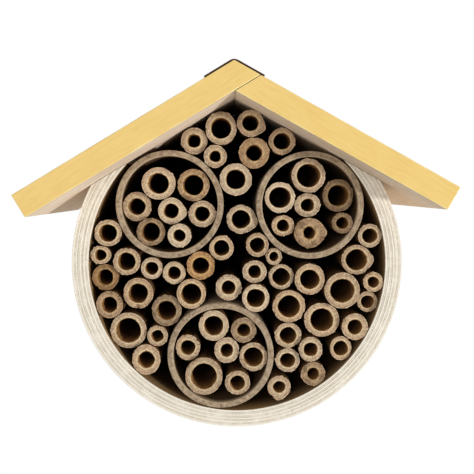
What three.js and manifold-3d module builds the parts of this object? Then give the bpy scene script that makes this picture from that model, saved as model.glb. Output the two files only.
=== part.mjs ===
// Round insect hotel for a wall: a bent-plywood drum under a pitched roof, filled with bamboo canes,
// most of them loose and the rest gathered in three large tubes.
//
// Millimetres, +Z up. The front faces -Y. The origin is on the drum's axis, on the rear face of the
// back panel, where the hotel lies against its wall.

import * as THREE from "three";
import { mergeVertices } from "three/addons/utils/BufferGeometryUtils.js";
import Module from "manifold-3d";

const wasm = await Module();
wasm.setup();

const GAP = 0.3; // air left between pieces that touch

const DRUM_RADIUS = 90;
const DRUM_WALL = 9;
const DRUM_DEPTH = 100;
const DRUM_BORE = DRUM_RADIUS - DRUM_WALL;

const ROOF_PITCH = THREE.MathUtils.degToRad(30);
const ROOF_THICKNESS = 13;
const ROOF_SLOPE = 130; // ridge to eave, along the top of one slope
const ROOF_DEPTH = 130; // the roof stands this far out from the wall, past the drum's front
const RIDGE_HEIGHT = 105; // top of the ridge over the drum's axis
const EASED_EDGE = 0.7;
const RIDGE_STRIP_REACH = 17; // down each slope
const RIDGE_STRIP_THICKNESS = 1;

const PANEL_THICKNESS = 8;

const TUBE_RADIUS = 29.3;
const TUBE_WALL = 3.2;
const TUBE_LENGTH = 91;
const TUBE_CENTRES = {
  upper_left: [-36.1, 33.4],
  upper_right: [40.2, 31.6],
  lower: [-10, -50.2],
};

const CANE_FRONT = -98; // mean plane of the canes' open ends
const CANE_STAGGER = 1.6; // how far an open end stands before or behind that plane
const NODE_DEPTH = 17; // from a cane's closed end to the middle of its node
const NODE_SPREAD = 4.5; // half the length of the swelling there
const NODE_RISE = 0.9;
const DIAPHRAGM = 2.5;
const BORE_TAPER = 0.97; // the bore narrows a little towards the node
const BUD_RISE = 1.5;
const BUD_SPREAD = 0.5;
const BUD_LENGTH = 12;
const BUNDLE_NODE_RISE = 1.3; // enough for neighbours in one tube to meet

const HANGER_HEIGHT = 52; // over the drum's axis
const HANGER = {
  width: 46,
  height: 18,
  corner: 4,
  thickness: 1.2,
  seat: 3.3, // depth of the recess that the plate lies in
  pocket: 6.4, // depth of the pocket for the wall screw's head
  pocketWidth: 12,
};
const KEYHOLE = { head: 4.6, neck: 2.4, rise: 7, low: -2.6 };
const SCREW = {
  spacing: 34,
  head: 2.8,
  headHeight: 1.1,
  shank: 1.3,
  length: 5.2,
  clearance: 1.8,
  pilotDepth: 7.3,
};

// Each cane's centre, its width and height and its bore, with the side on which a bud stands out.
const LOOSE_CANES = [
  { at: [-7, 73.5], size: [17, 18], bore: 11 },
  { at: [10, 77], size: [14.5, 14.5], bore: 8.5, bud: -25 },
  { at: [-22, 67], size: [14.5, 14.5], bore: 7 },
  { at: [-11, 59], size: [12.5, 12.5], bore: 6 },
  { at: [8.5, 61.5], size: [16.5, 17], bore: 8.5 },
  { at: [25.5, 66.5], size: [14.5, 14.5], bore: 9 },
  { at: [-0.5, 48], size: [17.5, 17.5], bore: 10.5 },
  { at: [2.5, 24.5], size: [16, 16], bore: 10, bud: -15 },
  { at: [-70, 18], size: [15, 14.5], bore: 9.5 },
  { at: [-74, 6], size: [11.5, 10], bore: 6 },
  { at: [-72, -6], size: [14.5, 14.5], bore: 8.5 },
  { at: [-60.5, 2.5], size: [15, 15], bore: 9.5 },
  { at: [-46.5, -1.5], size: [12, 12], bore: 7 },
  { at: [-34.5, -4.5], size: [12.5, 12.5], bore: 7 },
  { at: [-20.5, -1], size: [15.5, 15.5], bore: 9 },
  { at: [-9, 8.5], size: [13.5, 13.5], bore: 8.5 },
  { at: [-69.5, -21], size: [14.5, 15], bore: 8.5 },
  { at: [-54.5, -15], size: [16.5, 17], bore: 10.5 },
  { at: [-39, -25.5], size: [16.5, 17.5], bore: 10.5 },
  { at: [-24.5, -16.5], size: [16, 16.5], bore: 11 },
  { at: [-61, -35], size: [20, 20], bore: 13.5 },
  { at: [-44.5, -38.5], size: [11.5, 11.5], bore: 6.5 },
  { at: [-52, -51], size: [15.5, 17], bore: 9 },
  { at: [-5, -13], size: [14.5, 14.5], bore: 7.5 },
  { at: [12.5, 11], size: [12.5, 13], bore: 8 },
  { at: [21.5, 5.5], size: [9, 9.5], bore: 5 },
  { at: [9.5, -4.5], size: [13.5, 12.5], bore: 7 },
  { at: [9.5, -19], size: [15, 15.5], bore: 10 },
  { at: [24, -7], size: [14, 14], bore: 9.5 },
  { at: [39.5, -9], size: [16.5, 17], bore: 10.5 },
  { at: [28, -24], size: [18, 18], bore: 12 },
  { at: [46.5, -31.5], size: [19.5, 19], bore: 12.5 },
  { at: [57.5, -15.5], size: [19.5, 20], bore: 13 },
  { at: [65.5, 1], size: [16.5, 16.5], bore: 11.5, bud: 0 },
  { at: [73, 14], size: [13, 13], bore: 8 },
  { at: [74.5, -11.5], size: [11, 11], bore: 6 },
  { at: [72, -22], size: [11.5, 11.5], bore: 7 },
  { at: [64, -36], size: [14.5, 15], bore: 8 },
  { at: [56.5, -47.5], size: [12, 13.5], bore: 8 },
  { at: [27.5, -40], size: [15, 14], bore: 9 },
  { at: [39.5, -48], size: [13, 14], bore: 7.5 },
  { at: [27, -54], size: [13.5, 13.5], bore: 8 },
  { at: [41, -61.5], size: [13.5, 13.5], bore: 6.5 },
  { at: [22, -68.5], size: [13, 12.5], bore: 6.5, bud: -95 },
];

// The same for the canes in the large tubes. Those marked loose aren't glued to their neighbours.
const TUBE_CANES = {
  upper_left: [
    { at: [-41.5, 44], size: [18.5, 17.5], bore: 11 },
    { at: [-23, 43.5], size: [17.5, 17.5], bore: 11 },
    { at: [-54.5, 31.5], size: [15.5, 16], bore: 9 },
    { at: [-35.5, 29.5], size: [14.5, 14.5], bore: 8, bud: -10 },
    { at: [-18.5, 28], size: [15, 14.5], bore: 8 },
    { at: [-47.5, 19], size: [15.5, 15], bore: 10 },
    { at: [-31.5, 17.5], size: [13, 13], bore: 6.5 },
  ],
  upper_right: [
    { at: [39.5, 47.5], size: [18.5, 18.5], bore: 12.5 },
    { at: [24, 36], size: [16.5, 17], bore: 11.5 },
    { at: [39, 31.5], size: [14.5, 13], bore: 7 },
    { at: [56, 35.5], size: [17, 18], bore: 11.5 },
    { at: [26, 20.5], size: [12.5, 11.5], bore: 6.5 },
    { at: [39, 17], size: [16.5, 16.5], bore: 6.5, bud: 0, loose: true },
    { at: [58.5, 22], size: [11.5, 11.5], bore: 6.5, loose: true },
  ],
  lower: [
    { at: [-13.5, -33.5], size: [16.5, 17], bore: 10.5 },
    { at: [3, -36.5], size: [14, 14], bore: 7 },
    { at: [-28, -46], size: [13.5, 14.5], bore: 8 },
    { at: [-6, -48], size: [14, 14.5], bore: 7 },
    { at: [7.5, -51.5], size: [15.5, 16], bore: 10.5 },
    { at: [-19.5, -61.5], size: [20.5, 21], bore: 14 },
    { at: [-1, -65.5], size: [14, 13.5], bore: 8 },
  ],
};

const plywood = new THREE.MeshStandardMaterial({ color: 0xe6dac6, roughness: 0.75 });
const paintedPine = new THREE.MeshStandardMaterial({ color: 0xeed084, roughness: 0.6 });
const panelWood = new THREE.MeshStandardMaterial({ color: 0xb59a72, roughness: 0.85 });
const bamboo = new THREE.MeshStandardMaterial({ color: 0xb98f5c, roughness: 0.7 });
const fibre = new THREE.MeshStandardMaterial({ color: 0x6f6657, roughness: 0.9 });
const stripBrown = new THREE.MeshStandardMaterial({ color: 0x3a2016, roughness: 0.7 });
const zinc = new THREE.MeshStandardMaterial({ color: 0xa9adb0, roughness: 0.4, metalness: 0.9 });

const sinPitch = Math.sin(ROOF_PITCH);
const cosPitch = Math.cos(ROOF_PITCH);
const underside = RIDGE_HEIGHT * cosPitch - ROOF_THICKNESS; // from the axis to either roof underside

// An outline in X and Z, pushed forwards (to -Y) from the plane y = rear.
function prism(outline, depth, rear = 0, curveSegments = 12, eased = 0) {
  const geometry = new THREE.ExtrudeGeometry(outline, {
    depth: depth - 2 * eased,
    bevelEnabled: eased > 0,
    bevelThickness: eased,
    bevelSize: eased,
    bevelOffset: -eased,
    bevelSegments: 1,
    curveSegments,
  });
  return geometry.rotateX(Math.PI / 2).translate(0, rear - eased, 0);
}

function solidOf(geometry) {
  const bare = geometry.clone().deleteAttribute("normal").deleteAttribute("uv");
  const merged = mergeVertices(bare, 1e-4);
  return new wasm.Manifold(
    new wasm.Mesh({
      numProp: 3,
      vertProperties: merged.attributes.position.array,
      triVerts: new Uint32Array(merged.index.array),
    }),
  );
}

function geometryOf(solid) {
  const { vertProperties, triVerts } = solid.getMesh();
  const geometry = new THREE.BufferGeometry();
  geometry.setAttribute("position", new THREE.BufferAttribute(vertProperties, 3));
  geometry.setIndex(new THREE.BufferAttribute(triVerts, 1));
  geometry.computeVertexNormals();
  return geometry;
}

function named(name, geometry, material) {
  const mesh = new THREE.Mesh(geometry, material);
  mesh.name = name;
  return mesh;
}

// The angle over the horizontal at which a circle round the axis meets the right roof underside.
function meetsRoof(radius) {
  return Math.asin((underside - GAP) / radius) - ROOF_PITCH;
}

// The drum is open at the top: each end of its bent wall is cut along the roof underside.
function drumOutline() {
  const outerEnd = meetsRoof(DRUM_RADIUS);
  const innerEnd = meetsRoof(DRUM_BORE);
  const outline = new THREE.Shape();
  outline.absarc(0, 0, DRUM_RADIUS, outerEnd, Math.PI - outerEnd, true);
  outline.absarc(0, 0, DRUM_BORE, Math.PI - innerEnd, innerEnd, false);
  outline.closePath();
  return outline;
}

// Round below, and gabled above to follow the roof up to the ridge.
function panelOutline() {
  const radius = DRUM_BORE - GAP;
  const end = meetsRoof(radius);
  const outline = new THREE.Shape();
  outline.absarc(0, 0, radius, Math.PI - end, end, false);
  outline.lineTo(0, (underside - GAP) / cosPitch);
  outline.closePath();
  return outline;
}

// A point `along` the top of a slope from the ridge and `under` it; side is -1 left, 1 right.
function slopePoint(side, along, under) {
  const x = along * cosPitch - under * sinPitch;
  const z = RIDGE_HEIGHT - along * sinPitch - under * cosPitch;
  return new THREE.Vector2(side * x, z);
}

// The left board runs over the ridge and ends flush with the right slope.
function leftRoofOutline() {
  const overRun = -ROOF_THICKNESS / Math.tan(2 * ROOF_PITCH);
  return new THREE.Shape([
    slopePoint(-1, 0, 0),
    slopePoint(-1, ROOF_SLOPE, 0),
    slopePoint(-1, ROOF_SLOPE, ROOF_THICKNESS),
    slopePoint(-1, overRun, ROOF_THICKNESS),
  ]);
}

// The right board butts against the underside of the left one.
function rightRoofOutline() {
  const top = (ROOF_THICKNESS + GAP) / Math.sin(2 * ROOF_PITCH);
  const bottom = GAP / Math.sin(2 * ROOF_PITCH) + ROOF_THICKNESS * Math.tan(ROOF_PITCH);
  return new THREE.Shape([
    slopePoint(1, top, 0),
    slopePoint(1, ROOF_SLOPE, 0),
    slopePoint(1, ROOF_SLOPE, ROOF_THICKNESS),
    slopePoint(1, bottom, ROOF_THICKNESS),
  ]);
}

// A thin strip folded over the ridge.
function ridgeStripOutline() {
  const inner = -GAP;
  const outer = -GAP - RIDGE_STRIP_THICKNESS;
  const peak = (under) => new THREE.Vector2(0, RIDGE_HEIGHT - under / cosPitch);
  return new THREE.Shape([
    slopePoint(-1, RIDGE_STRIP_REACH, inner),
    peak(inner),
    slopePoint(1, RIDGE_STRIP_REACH, inner),
    slopePoint(1, RIDGE_STRIP_REACH, outer),
    peak(outer),
    slopePoint(-1, RIDGE_STRIP_REACH, outer),
  ]);
}

function ringOutline(outer, inner) {
  const outline = new THREE.Shape().absarc(0, 0, outer, 0, 2 * Math.PI, false);
  outline.holes.push(new THREE.Path().absarc(0, 0, inner, 0, 2 * Math.PI, true));
  return outline;
}

// How far an oval cane reaches from its axis in the direction (dx, dz).
function reach(cane, dx, dz) {
  return Math.hypot(cane.size[0] * dx, cane.size[1] * dz) / (2 * Math.hypot(dx, dz));
}

// Pushes canes apart until each keeps a gap to the others and to everything that `bounds` names.
function settle(canes, bounds) {
  const spots = canes.map((cane) => ({ ...cane, x: cane.at[0], z: cane.at[1] }));
  for (let pass = 0; pass < 300; pass++) {
    spots.forEach((a, i) => {
      for (const b of spots.slice(i + 1)) {
        const apart = Math.hypot(b.x - a.x, b.z - a.z);
        const [ux, uz] = [(b.x - a.x) / apart, (b.z - a.z) / apart];
        const push = (reach(a, ux, uz) + reach(b, ux, uz) + GAP - apart) / 2;
        if (push <= 0) continue;
        a.x -= ux * push;
        a.z -= uz * push;
        b.x += ux * push;
        b.z += uz * push;
      }
      bounds(a);
    });
  }
  return spots;
}

// Moves a cane back inside a circle, or out of one when `inside` is false.
function keepTo(cane, [cx, cz], radius, inside) {
  const away = Math.hypot(cane.x - cx, cane.z - cz);
  const margin = reach(cane, cane.x - cx, cane.z - cz) + GAP;
  const limit = inside ? radius - margin : radius + margin;
  if (inside ? away <= limit : away >= limit) return;
  cane.x = cx + ((cane.x - cx) * limit) / away;
  cane.z = cz + ((cane.z - cz) * limit) / away;
}

function keepInDrum(cane) {
  if (cane.z < Math.abs(cane.x)) keepTo(cane, [0, 0], DRUM_BORE, true);
  const side = Math.sign(cane.x);
  const margin = reach(cane, sinPitch, cosPitch) + GAP;
  const over = side * cane.x * sinPitch + cane.z * cosPitch + margin - underside;
  if (over > 0) {
    cane.x -= side * over * sinPitch;
    cane.z -= over * cosPitch;
  }
  for (const centre of Object.values(TUBE_CENTRES)) keepTo(cane, centre, TUBE_RADIUS, false);
}

// How far a cane's node may swell before it would meet a neighbour.
function freeRise(cane, others) {
  const radius = Math.max(...cane.size) / 2;
  const rooms = others
    .filter((other) => other !== cane)
    .map((other) => {
      const [dx, dz] = [other.x - cane.x, other.z - cane.z];
      return (Math.hypot(dx, dz) - reach(other, dx, dz) - reach(cane, dx, dz) - GAP) / 2;
    });
  const ply = DRUM_BORE - GAP - Math.hypot(cane.x, cane.z) - radius;
  const roof = underside - GAP - Math.abs(cane.x) * sinPitch - cane.z * cosPitch - radius;
  for (const [x, z] of Object.values(TUBE_CENTRES)) {
    rooms.push(Math.hypot(cane.x - x, cane.z - z) - TUBE_RADIUS - radius - GAP);
  }
  return THREE.MathUtils.clamp(Math.min(ply, roof, ...rooms), 0, NODE_RISE);
}

// The open ends stand unevenly: each cane's place in the list turns a golden angle further.
function stagger(index) {
  return CANE_STAGGER * Math.sin(index * 2.4);
}

// A cane cut just behind a node: closed by its diaphragm near the back and open at the front, on
// its own axis. The outline is oval, and a bud makes a lobe that fades out behind the open end.
function caneGeometry(cane, rise, forward) {
  const mean = (cane.size[0] + cane.size[1]) / 4;
  const bore = cane.bore / 2;
  const back = -PANEL_THICKNESS - GAP;
  const front = CANE_FRONT - forward;
  const node = back - NODE_DEPTH;
  const budded = cane.bud !== undefined;
  const shell = [
    [0, back],
    [mean, back],
    [mean, node + NODE_SPREAD],
    [mean + rise, node],
    [mean, node - NODE_SPREAD],
    ...(budded ? [[mean, front + BUD_LENGTH]] : []),
    [mean, front],
  ];
  const hollow = [
    [bore, front],
    [bore * BORE_TAPER, node - DIAPHRAGM],
    [0, node - DIAPHRAGM / 2],
  ];
  const profile = [...shell, ...hollow].map(([radius, y]) => new THREE.Vector2(radius, y));
  const budAngle = THREE.MathUtils.degToRad(cane.bud ?? 0);
  const sides = budded ? 16 : mean < 7 ? 10 : 12;
  const geometry = new THREE.LatheGeometry(profile.reverse(), sides, Math.PI / 2 - budAngle);
  const place = geometry.attributes.position;
  for (let i = 0; i < place.count; i++) {
    const [x, y, z] = [place.getX(i), place.getY(i), place.getZ(i)];
    const isShell = profile.length - 1 - (i % profile.length) < shell.length;
    if (!isShell) continue;
    const turn = Math.atan2(z, x) - budAngle;
    const atFront = budded && Math.abs(y - front) < 0.01;
    const lobe = atFront ? BUD_RISE * Math.exp(-((2 * Math.sin(turn / 2)) ** 2) / BUD_SPREAD ** 2) : 0;
    place.setX(i, (x * cane.size[0]) / (2 * mean) + lobe * Math.cos(budAngle + turn));
    place.setZ(i, (z * cane.size[1]) / (2 * mean) + lobe * Math.sin(budAngle + turn));
  }
  return geometry;
}

function looseCanes() {
  const canes = settle(LOOSE_CANES, keepInDrum);
  return canes.map((cane, index) => {
    const geometry = caneGeometry(cane, freeRise(cane, canes), stagger(index));
    const mesh = named("cane_" + String(index + 1).padStart(2, "0"), geometry, bamboo);
    mesh.position.set(cane.x, 0, cane.z);
    return mesh;
  });
}

// The room a loose cane needs between its neighbours' swollen nodes.
function nodeClearance(cane) {
  const radius = Math.max(...cane.size) / 2 + GAP;
  const room = new THREE.CylinderGeometry(radius, radius, 2 * (NODE_SPREAD + GAP), 24);
  return solidOf(room.translate(cane.x, -PANEL_THICKNESS - GAP - NODE_DEPTH, cane.z));
}

// The canes of one tube. Most meet each other at their nodes and are glued there.
function tubeCanes(place) {
  const centre = TUBE_CENTRES[place];
  const room = TUBE_RADIUS - TUBE_WALL;
  const canes = settle(TUBE_CANES[place], (cane) => keepTo(cane, centre, room, true));
  const geometries = canes.map((cane, index) =>
    caneGeometry(cane, cane.loose ? 0 : BUNDLE_NODE_RISE, stagger(index * 3 + 1)),
  );
  const solids = [];
  const loose = [];
  canes.forEach((cane, index) => {
    if (cane.loose) {
      const number = LOOSE_CANES.length + loose.length + 1;
      const mesh = named("cane_" + number, geometries[index], bamboo);
      mesh.position.set(cane.x, 0, cane.z);
      loose.push(mesh);
    } else solids.push(solidOf(geometries[index].translate(cane.x, 0, cane.z)));
  });
  let glued = solids.reduce((bundle, solid) => bundle.add(solid));
  for (const cane of canes.filter(({ loose }) => loose)) glued = glued.subtract(nodeClearance(cane));
  const disc = new THREE.Shape().absarc(0, 0, room - GAP, 0, 2 * Math.PI, false);
  const bore = prism(disc, 2 * DRUM_DEPTH, 0, 16).translate(centre[0], 0, centre[1]);
  const bundle = geometryOf(glued.intersect(solidOf(bore)));
  return [named("cane_bundle_" + place, bundle, bamboo), ...loose];
}

function largeTube(place) {
  const outline = ringOutline(TUBE_RADIUS, TUBE_RADIUS - TUBE_WALL);
  const mesh = named("tube_" + place, prism(outline, TUBE_LENGTH, 0, 16), fibre);
  mesh.position.set(TUBE_CENTRES[place][0], -PANEL_THICKNESS - GAP, TUBE_CENTRES[place][1]);
  return mesh;
}

function roundedBar(width, height, corner) {
  const [x, z] = [width / 2 - corner, height / 2 - corner];
  const outline = new THREE.Shape();
  outline.absarc(x, -z, corner, -Math.PI / 2, 0, false);
  outline.absarc(x, z, corner, 0, Math.PI / 2, false);
  outline.absarc(-x, z, corner, Math.PI / 2, Math.PI, false);
  outline.absarc(-x, -z, corner, Math.PI, 1.5 * Math.PI, false);
  return outline;
}

// A round hole for the wall screw's head, with a slot up from it for the shank.
function keyholePath() {
  const lean = Math.asin(KEYHOLE.neck / KEYHOLE.head);
  const path = new THREE.Path();
  path.absarc(0, KEYHOLE.low, KEYHOLE.head, Math.PI / 2 + lean, 2.5 * Math.PI - lean, false);
  path.absarc(0, KEYHOLE.low + KEYHOLE.rise, KEYHOLE.neck, 0, Math.PI, false);
  path.closePath();
  return path;
}

function screwHole(side, radius) {
  return new THREE.Path().absarc((side * SCREW.spacing) / 2, 0, radius, 0, 2 * Math.PI, true);
}

// The plate lies in its seat, just under the panel's rear face.
function hangerPlate() {
  const outline = roundedBar(HANGER.width, HANGER.height, HANGER.corner);
  outline.holes.push(keyholePath(), screwHole(-1, SCREW.clearance), screwHole(1, SCREW.clearance));
  const mesh = named("hanger_plate", prism(outline, HANGER.thickness, 0, 6), zinc);
  mesh.position.set(0, GAP - HANGER.seat + HANGER.thickness, HANGER_HEIGHT);
  return mesh;
}

// A pan-head screw through the plate into the panel, its head under the panel's rear face.
function hangerScrew(side) {
  const bearing = 2 * GAP - HANGER.seat + HANGER.thickness;
  const profile = [
    [0, bearing + SCREW.headHeight],
    [SCREW.head * 0.75, bearing + SCREW.headHeight],
    [SCREW.head, bearing + SCREW.headHeight / 2],
    [SCREW.head, bearing],
    [SCREW.shank, bearing],
    [SCREW.shank, bearing - SCREW.length + SCREW.shank],
    [0, bearing - SCREW.length],
  ];
  const points = profile.map(([radius, y]) => new THREE.Vector2(radius, y));
  const name = side < 0 ? "hanger_screw_left" : "hanger_screw_right";
  const mesh = named(name, new THREE.LatheGeometry(points.reverse(), 12), zinc);
  mesh.position.set((side * SCREW.spacing) / 2, 0, HANGER_HEIGHT);
  return mesh;
}

// Plywood, with a seat for the hanger plate, a deeper pocket behind its keyhole and two pilot holes.
function backPanel() {
  const cut = (outline, depth, x = 0) =>
    solidOf(prism(outline, depth + 1, 1, 6).translate(x, 0, HANGER_HEIGHT));
  const seat = roundedBar(HANGER.width + 2 * GAP, HANGER.height + 2 * GAP, HANGER.corner + GAP);
  const pocket = roundedBar(HANGER.pocketWidth, HANGER.height - 2, HANGER.corner);
  const pilot = new THREE.Shape().absarc(0, 0, SCREW.shank + GAP, 0, 2 * Math.PI, false);
  let panel = solidOf(prism(panelOutline(), PANEL_THICKNESS, 0, 36));
  panel = panel.subtract(cut(seat, HANGER.seat));
  panel = panel.subtract(cut(pocket, HANGER.pocket));
  for (const side of [-1, 1]) {
    panel = panel.subtract(cut(pilot, SCREW.pilotDepth, (side * SCREW.spacing) / 2));
  }
  return named("back_panel", geometryOf(panel), panelWood);
}

const hotel = new THREE.Group();
hotel.name = "insect_hotel";
hotel.add(
  named("barrel", prism(drumOutline(), DRUM_DEPTH, 0, 36), plywood),
  backPanel(),
  named("roof_board_left", prism(leftRoofOutline(), ROOF_DEPTH, 0, 1, EASED_EDGE), paintedPine),
  named("roof_board_right", prism(rightRoofOutline(), ROOF_DEPTH, 0, 1, EASED_EDGE), paintedPine),
  named("ridge_strip", prism(ridgeStripOutline(), ROOF_DEPTH), stripBrown),
  hangerPlate(),
  hangerScrew(-1),
  hangerScrew(1),
  ...Object.keys(TUBE_CENTRES).map(largeTube),
  ...Object.keys(TUBE_CENTRES).flatMap(tubeCanes),
  ...looseCanes(),
);

export default hotel;
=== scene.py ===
import math
import bpy
import numpy as np
from mathutils import Matrix, Vector


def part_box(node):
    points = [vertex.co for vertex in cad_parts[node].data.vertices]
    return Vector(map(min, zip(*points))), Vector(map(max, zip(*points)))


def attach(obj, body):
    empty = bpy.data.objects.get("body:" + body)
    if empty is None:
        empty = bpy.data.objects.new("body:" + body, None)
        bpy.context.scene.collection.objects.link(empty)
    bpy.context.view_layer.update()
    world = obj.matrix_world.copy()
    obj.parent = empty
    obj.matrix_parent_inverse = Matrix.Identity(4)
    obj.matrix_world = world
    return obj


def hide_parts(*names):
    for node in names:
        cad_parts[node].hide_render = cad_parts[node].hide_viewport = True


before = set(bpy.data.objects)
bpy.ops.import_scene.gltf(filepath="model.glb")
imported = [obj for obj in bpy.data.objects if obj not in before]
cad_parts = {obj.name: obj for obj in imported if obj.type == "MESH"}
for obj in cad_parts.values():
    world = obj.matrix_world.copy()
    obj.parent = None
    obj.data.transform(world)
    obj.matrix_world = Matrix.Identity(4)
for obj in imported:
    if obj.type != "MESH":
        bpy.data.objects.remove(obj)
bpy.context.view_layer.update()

mm = 0.001
finest = 2


# Reading the frame

def nodeMesh(node):
    # the welded points and the triangles of a CAD node
    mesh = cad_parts[node].data
    points = np.empty(3 * len(mesh.vertices), np.float32)
    mesh.vertices.foreach_get("co", points)
    mesh.calc_loop_triangles()
    corners = np.empty(3 * len(mesh.loop_triangles), np.int32)
    mesh.loop_triangles.foreach_get("vertices", corners)
    places, welded = np.unique(points.reshape(-1, 3).astype(float).round(6), axis=0, return_inverse=True)
    return places, welded.reshape(-1)[corners].reshape(-1, 3)


def stationsOf(node):
    # the places along Y of a turned piece's rings, from its back to its front
    return np.unique(nodeMesh(node)[0][:, 1].round(5))[::-1]


def joinedSets(triangles, count):
    # one label for every point; points of triangles that touch end up with the lowest label among them
    label = np.arange(count)
    while True:
        spread = label.copy()
        np.minimum.at(spread, triangles, np.repeat(label[triangles].min(axis=1)[:, None], 3, axis=1))
        if (spread == label).all():
            return label
        label = spread


def openEnds(node):
    # the sawn ring of each cane in a node, as its axis, plane, bore radius and outer corners
    points, triangles = nodeMesh(node)
    a, b, c = (points[triangles[:, k]] for k in range(3))
    across = np.cross(b - a, c - a)
    square = across[:, 1] < -0.99 * np.linalg.norm(across, axis=1)
    sawn = triangles[square & (a[:, 1] < points[:, 1].min() + 6 * mm)]
    label = joinedSets(sawn, len(points))
    ends = []
    for part in np.unique(label[sawn]):
        ring = points[np.unique(sawn[label[sawn[:, 0]] == part])]
        flat = ring[:, [0, 2]]
        near = np.argsort(np.hypot(*(flat - flat.mean(axis=0)).T))
        axis = flat[near[: len(near) // 2]].mean(axis=0)
        away = flat - axis
        radius, angle = np.hypot(*away.T), np.arctan2(away[:, 1], away[:, 0])
        inner, outer = near[: len(near) // 2], near[len(near) // 2:]
        ends.append({"axis": axis, "front": ring[:, 1].mean(), "bore": radius[inner].mean(),
                     "angles": angle[outer], "radii": radius[outer]})
    return sorted(ends, key=lambda end: (-round(end["axis"][1], 3), end["axis"][0]))


# Surfaces

def quadGrid(rows, columns, rowsClose, columnsClose):
    # four-sided faces between the neighbours of a grid of points, which may close on itself either way
    row, column = np.meshgrid(np.arange(rows if rowsClose else rows - 1),
                              np.arange(columns if columnsClose else columns - 1), indexing="ij")
    below, beside = (row + 1) % rows, (column + 1) % columns
    upper = [row * columns + column, row * columns + beside]
    lower = [below * columns + beside, below * columns + column]
    return np.stack(upper + lower, axis=-1).reshape(-1, 4)


def poleFans(rows, columns):
    # three-sided faces from the first and last rows to the two poles, which are the last two points
    column = np.arange(columns)
    beside = (column + 1) % columns
    last = (rows - 1) * columns
    pole = np.full(columns, rows * columns)
    start = np.stack([pole, beside, column], axis=-1)
    finish = np.stack([pole + 1, last + column, last + beside], axis=-1)
    return start, finish


def swept(points, faces):
    # six times the volume that the faces enclose, negative when they point inwards
    total = 0.0
    for group in faces:
        group = np.asarray(group)
        for k in range(1, group.shape[1] - 1):
            a, b, c = points[group[:, 0]], points[group[:, k]], points[group[:, k + 1]]
            total += (a * np.cross(b, c)).sum()
    return total


def makePiece(name, points, faces, materials, kinds=None, spots=None, sharp=35, tones=None):
    # a finished piece from points, groups of faces, a material number for each face and vectors on each point
    # for the materials, with the faces turned outwards
    if swept(points, faces) < 0:
        faces = [np.asarray(group)[:, ::-1] for group in faces]
    mesh = bpy.data.meshes.new(name)
    mesh.from_pydata(points.tolist(), [], [face for group in faces for face in np.asarray(group).tolist()])
    for material in materials:
        mesh.materials.append(material)
    if kinds is not None:
        mesh.polygons.foreach_set("material_index", np.concatenate(kinds).astype(np.int32))
    for kept, values in (("spot", spots), ("tone", tones)):
        if values is not None:
            held = mesh.attributes.new(kept, "FLOAT_VECTOR", "POINT")
            held.data.foreach_set("vector", values.astype(np.float32).ravel())
    mesh.shade_smooth()
    mesh.set_sharp_from_angle(angle=math.radians(sharp))
    mesh.update()
    made = bpy.data.objects.new(name, mesh)
    bpy.context.scene.collection.objects.link(made)
    return made


def ripple(angles, seed, orders, height):
    # a seeded unevenness round a ring: a sum of cosines, each order weaker than the last
    source = np.random.default_rng(seed)
    order = np.arange(*orders)
    weight = source.normal(size=len(order)) / np.sqrt(order)
    phase = source.uniform(0, 2 * math.pi, len(order))
    wave = (weight * np.cos(np.multiply.outer(angles, order) + phase)).sum(axis=-1)
    return height * wave / np.abs(weight).sum()


# Materials

def albedo(red, green, blue):
    # a display colour, 0 to 255, as linear light
    shown = np.array([red, green, blue]) / 255
    linear = np.where(shown <= 0.04045, shown / 12.92, ((shown + 0.055) / 1.055) ** 2.4)
    return (*linear.tolist(), 1.0)


def add(tree, kind, inputs=(), **settings):
    # a node with its settings, its inputs linked or set to a value
    made = tree.nodes.new(kind)
    for key, value in settings.items():
        setattr(made, key, value)
    for key, value in dict(inputs).items():
        if isinstance(value, bpy.types.NodeSocket):
            tree.links.new(value, made.inputs[key])
        else:
            made.inputs[key].default_value = value
    return made


def begin(name, roughness, specular=0.3, metallic=0.0):
    made = bpy.data.materials.new(name)
    made.use_nodes = True
    shader = made.node_tree.nodes["Principled BSDF"]
    shader.inputs["Roughness"].default_value = roughness
    shader.inputs["Metallic"].default_value = metallic
    shader.inputs["Specular IOR Level"].default_value = specular
    return made, made.node_tree, shader


def place(tree, stretch, slope=0.0):
    # Object coordinates turned by a slope about Y, then stretched so that a noise read from them is long
    # where the stretch is small
    here = add(tree, "ShaderNodeTexCoord")
    shares = tuple(1 / share for share in stretch)
    inputs = {"Vector": here.outputs["Object"], "Scale": shares, "Rotation": (0, -slope, 0)}
    return add(tree, "ShaderNodeMapping", inputs, vector_type="TEXTURE").outputs["Vector"]


def noise(tree, vector, scale, detail=3.0, roughness=0.55, distortion=0.0):
    inputs = {"Vector": vector, "Scale": scale, "Detail": detail, "Roughness": roughness,
              "Distortion": distortion}
    return add(tree, "ShaderNodeTexNoise", inputs).outputs["Fac"]


def remap(tree, value, low, high, start=0.0, finish=1.0):
    inputs = {"Value": value, "From Min": low, "From Max": high, "To Min": start, "To Max": finish}
    return add(tree, "ShaderNodeMapRange", inputs).outputs["Result"]


def ramp(tree, value, stops):
    made = add(tree, "ShaderNodeValToRGB", {"Fac": value})
    band = made.color_ramp
    for at, shade in stops[1:-1]:
        band.elements.new(at)
    for element, (at, shade) in zip(band.elements, stops):
        element.position = at
        element.color = albedo(*shade)
    return made.outputs["Color"]


def blend(tree, amount, under, over, way="MIX"):
    made = add(tree, "ShaderNodeMix", data_type="RGBA", blend_type=way)
    for socket, value in ((made.inputs[0], amount), (made.inputs[6], under), (made.inputs[7], over)):
        if isinstance(value, bpy.types.NodeSocket):
            tree.links.new(value, socket)
        else:
            socket.default_value = value
    return made.outputs[2]


def tinted(tree, amount, under, over, way="MIX"):
    # a colour with another of the piece's colours over it
    return blend(tree, amount, under, albedo(*over), way)


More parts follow.
